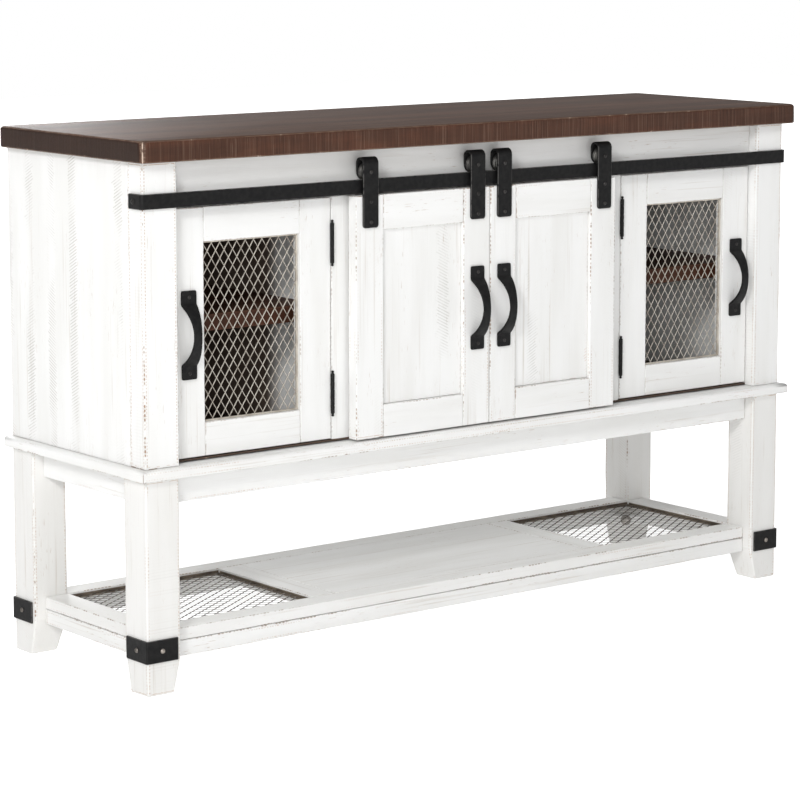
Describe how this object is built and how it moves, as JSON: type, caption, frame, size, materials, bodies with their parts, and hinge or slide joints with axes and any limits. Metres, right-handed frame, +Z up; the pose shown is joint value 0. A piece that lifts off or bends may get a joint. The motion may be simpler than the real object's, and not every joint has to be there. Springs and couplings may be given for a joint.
{
  "type": "sideboard buffet",
  "caption": "Farmhouse sideboard with sliding barn doors, hinged mesh doors, inner shelves and a low slatted shelf between its legs.",
  "frame": {"origin": "centre of the bounding box on the floor", "axes": "+X to the right along the width, -Y towards the front with the doors, +Z up"},
  "size_m": [1.562, 0.4896, 0.965],
  "materials": {
    "white_paint": "distressed matt white paint",
    "walnut_stain": "satin dark stain",
    "dark_interior": "matt dark stain",
    "shelf_wood": "matt brown stain",
    "black_iron": "textured black",
    "pale_mesh": "pale antique",
    "pewter_grille": "brown pewter"
  },
  "bodies": {
    "case": {"top": "walnut_stain", "post_left": "white_paint", "post_right": "white_paint", "side_panel_left": "white_paint", "side_panel_right": "white_paint", "header": "white_paint", "face_stile_left": "white_paint", "face_stile_right": "white_paint", "partition_left": "white_paint", "partition_right": "white_paint", "back_panel": "dark_interior", "case_floor": "dark_interior", "ledge_front": "white_paint", "ledge_left": "white_paint", "ledge_right": "white_paint", "leg_front_left": "white_paint", "leg_front_right": "white_paint", "leg_back_left": "white_paint", "leg_back_right": "white_paint", "bracket_front_left": "black_iron", "bracket_front_right": "black_iron", "bracket_back_left": "black_iron", "bracket_back_right": "black_iron", "apron_front": "white_paint", "apron_back": "white_paint", "apron_left": "white_paint", "apron_right": "white_paint", "shelf_rail_front": "white_paint", "shelf_rail_back": "white_paint", "shelf_rail_left": "white_paint", "shelf_rail_right": "white_paint", "low_shelf_panel": "white_paint", "grille_left": "pewter_grille", "grille_right": "pewter_grille", "track": "black_iron", "hinge_left_a": "black_iron", "hinge_left_b": "black_iron", "hinge_right_a": "black_iron", "hinge_right_b": "black_iron"},
    "barn_leaf_left": {"barn_door_left": "white_paint", "barn_handle_left": "black_iron", "hanger_left_a": "black_iron", "hanger_left_b": "black_iron"},
    "barn_leaf_right": {"barn_door_right": "white_paint", "barn_handle_right": "black_iron", "hanger_right_a": "black_iron", "hanger_right_b": "black_iron"},
    "wheel_left_a": {"roller_left_a": "black_iron"},
    "wheel_left_b": {"roller_left_b": "black_iron"},
    "wheel_right_a": {"roller_right_a": "black_iron"},
    "wheel_right_b": {"roller_right_b": "black_iron"},
    "mesh_leaf_left": {"mesh_door_left": "white_paint", "mesh_left": "pale_mesh", "mesh_handle_left": "black_iron"},
    "mesh_leaf_right": {"mesh_door_right": "white_paint", "mesh_right": "pale_mesh", "mesh_handle_right": "black_iron"},
    "loose_shelf_left": {"shelf_left": "shelf_wood"},
    "loose_shelf_centre": {"shelf_centre": "shelf_wood"},
    "loose_shelf_right": {"shelf_right": "shelf_wood"}
  },
  "joints": [
    {"name": "barn_left_slide", "type": "slide", "parent": "case", "child": "barn_leaf_left", "axis": [1, 0, 0], "range_m": [-0.312, 0]},
    {"name": "barn_right_slide", "type": "slide", "parent": "case", "child": "barn_leaf_right", "axis": [1, 0, 0], "range_m": [0, 0.32]},
    {"name": "wheel_left_a_spin", "type": "hinge", "parent": "barn_leaf_left", "child": "wheel_left_a", "pos_m": [-0.287, -0.2043, 0.886], "axis": [0, 1, 0], "range_deg": [-1376, 0]},
    {"name": "wheel_left_b_spin", "type": "hinge", "parent": "barn_leaf_left", "child": "wheel_left_b", "pos_m": [-0.038, -0.2043, 0.886], "axis": [0, 1, 0], "range_deg": [-1376, 0]},
    {"name": "wheel_right_a_spin", "type": "hinge", "parent": "barn_leaf_right", "child": "wheel_right_a", "pos_m": [0.026, -0.2043, 0.886], "axis": [0, 1, 0], "range_deg": [0, 1411]},
    {"name": "wheel_right_b_spin", "type": "hinge", "parent": "barn_leaf_right", "child": "wheel_right_b", "pos_m": [0.275, -0.2043, 0.886], "axis": [0, 1, 0], "range_deg": [0, 1411]},
    {"name": "mesh_left_hinge", "type": "hinge", "parent": "case", "child": "mesh_leaf_left", "pos_m": [-0.35, -0.1834, 0.6245], "axis": [0, 0, 1], "range_deg": [0, 105]},
    {"name": "mesh_right_hinge", "type": "hinge", "parent": "case", "child": "mesh_leaf_right", "pos_m": [0.35, -0.1834, 0.6245], "axis": [0, 0, 1], "range_deg": [-105, 0]},
    {"name": "shelf_left_lift", "type": "slide", "parent": "case", "child": "loose_shelf_left", "axis": [0, 0, 1], "range_m": [0, 0.04]},
    {"name": "shelf_centre_lift", "type": "slide", "parent": "case", "child": "loose_shelf_centre", "axis": [0, 0, 1], "range_m": [0, 0.04]},
    {"name": "shelf_right_lift", "type": "slide", "parent": "case", "child": "loose_shelf_right", "axis": [0, 0, 1], "range_m": [0, 0.04]}
  ],
  "couplings": [
    {"joint": "wheel_left_a_spin", "follows": "barn_left_slide", "rad_per_m": 76.923},
    {"joint": "wheel_left_b_spin", "follows": "barn_left_slide", "rad_per_m": 76.923},
    {"joint": "wheel_right_a_spin", "follows": "barn_right_slide", "rad_per_m": 76.923},
    {"joint": "wheel_right_b_spin", "follows": "barn_right_slide", "rad_per_m": 76.923}
  ]
}
